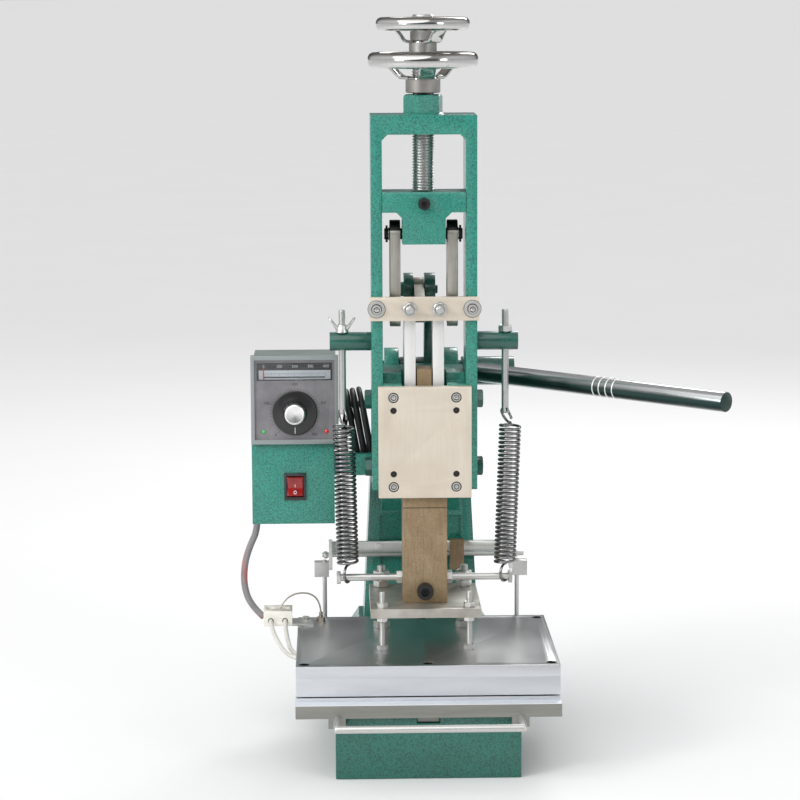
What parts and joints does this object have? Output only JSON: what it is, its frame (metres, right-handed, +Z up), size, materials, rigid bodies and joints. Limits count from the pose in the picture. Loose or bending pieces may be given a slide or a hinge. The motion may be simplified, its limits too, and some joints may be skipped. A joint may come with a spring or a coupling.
{
  "type": "hot foil stamper",
  "caption": "Bench press on a C-frame that prints foil with a heated platen, driven by a hand lever through a toggle, with a sliding tray and a temperature control box.",
  "frame": {"origin": "on the bench plane, under the ram axis", "axes": "+X to the operator's right, +Y away from the operator, +Z up from the bench; the column, ram and screw run along Z"},
  "size_m": [0.5177, 0.394, 0.802],
  "materials": {
    "green_cast": "hammered green enamel",
    "green_paint": "smooth green enamel",
    "ground_steel": "surface-ground plate",
    "polished_steel": "polished plate",
    "zinc_steel": "zinc-plated",
    "bright_link": "bright bar",
    "dull_link": "oiled bar",
    "brown_ram": "oiled brown steel",
    "black_steel": "black oxide",
    "spring_wire": "bright drawn wire",
    "chrome": "polished chrome",
    "heater_metal": "heat-tinted sheath",
    "ceramic": "glazed white ceramic",
    "white_sleeve": "woven glass sleeve",
    "grey_sleeve": "grey woven sleeve with red thread",
    "case_grey": "moulded grey",
    "face_grey": "satin grey panel",
    "scale_white": "printed card",
    "window": "clear",
    "needle_red": "painted",
    "lamp": "tinted lens",
    "black_plastic": "satin black",
    "red_plastic": "gloss red",
    "spun_cap": "spun face",
    "board": "circuit board",
    "black_cord": "flexible cord"
  },
  "bodies": {
    "frame": {"casting": "green_cast", "cheek_frame": "green_cast", "cover_plate": "ground_steel", "cross_plate": "ground_steel", "plate_screws": "zinc_steel", "stop_studs": "zinc_steel", "cheek_bolts": "green_paint", "top_nut": "green_paint", "spring_stubs": "green_paint", "eye_bolts": "zinc_steel", "spring_tops": "spring_wire", "control_box": "green_cast", "meter_case": "case_grey", "meter_face": "face_grey", "meter_scale": "scale_white", "meter_window": "window", "lamps": "lamp", "meter_board": "board", "rocker_frame": "black_plastic", "mains_lead": "black_cord", "mains_coil": "black_cord", "mains_plug": "black_cord", "foil_bar": "zinc_steel", "foil_posts": "zinc_steel", "foil_guide": "brown_ram"},
    "lever": {"lever_hub": "green_paint", "lever_tube": "green_paint", "fork_pin": "black_steel"},
    "drive": {"drive_link": "dull_link"},
    "slider": {"slider_block": "green_cast", "slider_screw": "black_steel", "top_pin": "black_steel", "spring_lows": "spring_wire"},
    "screw": {"adjust_screw": "chrome", "feed_wheel": "chrome"},
    "upper_toggle": {"upper_links": "dull_link", "knee_pins": "black_steel"},
    "lower_toggle": {"lower_links": "bright_link"},
    "ram": {"ram": "brown_ram", "ram_pin": "black_steel", "hanger_plate": "ground_steel", "ram_fixings": "zinc_steel", "platen_top_plate": "polished_steel", "heater_plate": "polished_steel", "heater_rods": "heater_metal", "terminal_tab": "zinc_steel", "terminal_block": "ceramic", "heater_leads": "white_sleeve", "probe": "heater_metal", "supply_cable": "grey_sleeve"},
    "lock": {"lock_wheel": "chrome"},
    "tray": {"tray": "polished_steel", "tray_handle": "chrome", "die_plate": "ground_steel"},
    "wing_nut": {"wing_nut": "zinc_steel"},
    "rocker": {"rocker": "red_plastic"},
    "dial": {"dial": "black_plastic", "dial_cap": "spun_cap"},
    "needle": {"needle": "needle_red"},
    "foil_rod": {"foil_rod": "zinc_steel"}
  },
  "joints": [
    {"name": "lever_swing", "type": "hinge", "parent": "frame", "child": "lever", "pos_m": [0, 0.1, 0.406], "axis": [-1, 0, 0], "range_deg": [0, 37.4], "deforming": ["spring_lows", "supply_cable"]},
    {"name": "drive_swing", "type": "hinge", "parent": "lever", "child": "drive", "pos_m": [0, 0.075, 0.501], "axis": [1, 0, 0], "range_deg": [-1, 17.2]},
    {"name": "head_height", "type": "slide", "parent": "frame", "child": "slider", "axis": [0, 0, 1], "range_m": [0, 0.027], "deforming": ["spring_tops"]},
    {"name": "screw_turn", "type": "hinge", "parent": "slider", "child": "screw", "pos_m": [0, 0, 0.7], "axis": [0, 0, 1], "range_deg": [0, 3260]},
    {"name": "upper_swing", "type": "hinge", "parent": "slider", "child": "upper_toggle", "pos_m": [0, 0, 0.569], "axis": [1, 0, 0], "range_deg": [0, 48]},
    {"name": "lower_swing", "type": "hinge", "parent": "upper_toggle", "child": "lower_toggle", "pos_m": [0, 0, 0.484], "axis": [-1, 0, 0], "range_deg": [0, 96]},
    {"name": "ram_swing", "type": "hinge", "parent": "lower_toggle", "child": "ram", "pos_m": [0, 0, 0.399], "axis": [1, 0, 0], "range_deg": [0, 48]},
    {"name": "lock_wheel_turn", "type": "hinge", "parent": "frame", "child": "lock", "pos_m": [0, 0, 0.728], "axis": [0, 0, 1], "continuous": true},
    {"name": "tray_slide", "type": "slide", "parent": "frame", "child": "tray", "axis": [0, -1, 0], "range_m": [0, 0.15]},
    {"name": "wing_nut_turn", "type": "hinge", "parent": "frame", "child": "wing_nut", "pos_m": [-0.088, 0, 0.467], "axis": [0, 0, 1], "continuous": true},
    {"name": "rocker_tilt", "type": "hinge", "parent": "frame", "child": "rocker", "pos_m": [-0.1409, 0.046, 0.2865], "axis": [1, 0, 0], "range_deg": [0, 8]},
    {"name": "dial_turn", "type": "hinge", "parent": "frame", "child": "dial", "pos_m": [-0.1402, 0.036, 0.3696], "axis": [0, -1, 0], "range_deg": [0, 270]},
    {"name": "needle_move", "type": "slide", "parent": "frame", "child": "needle", "axis": [1, 0, 0], "range_m": [0, 0.06]},
    {"name": "foil_rod_turn", "type": "hinge", "parent": "frame", "child": "foil_rod", "pos_m": [0, 0.1208, 0.193], "axis": [1, 0, 0], "continuous": true}
  ],
  "couplings": [
    {"joint": "drive_swing", "follows": "lever_swing", "ratio": 0.41923},
    {"joint": "upper_swing", "follows": "lever_swing", "ratio": 1.2032},
    {"joint": "lower_swing", "follows": "lever_swing", "ratio": 2.4064},
    {"joint": "ram_swing", "follows": "lever_swing", "ratio": 1.2032},
    {"joint": "screw_turn", "follows": "head_height", "rad_per_m": 2094.4}
  ]
}
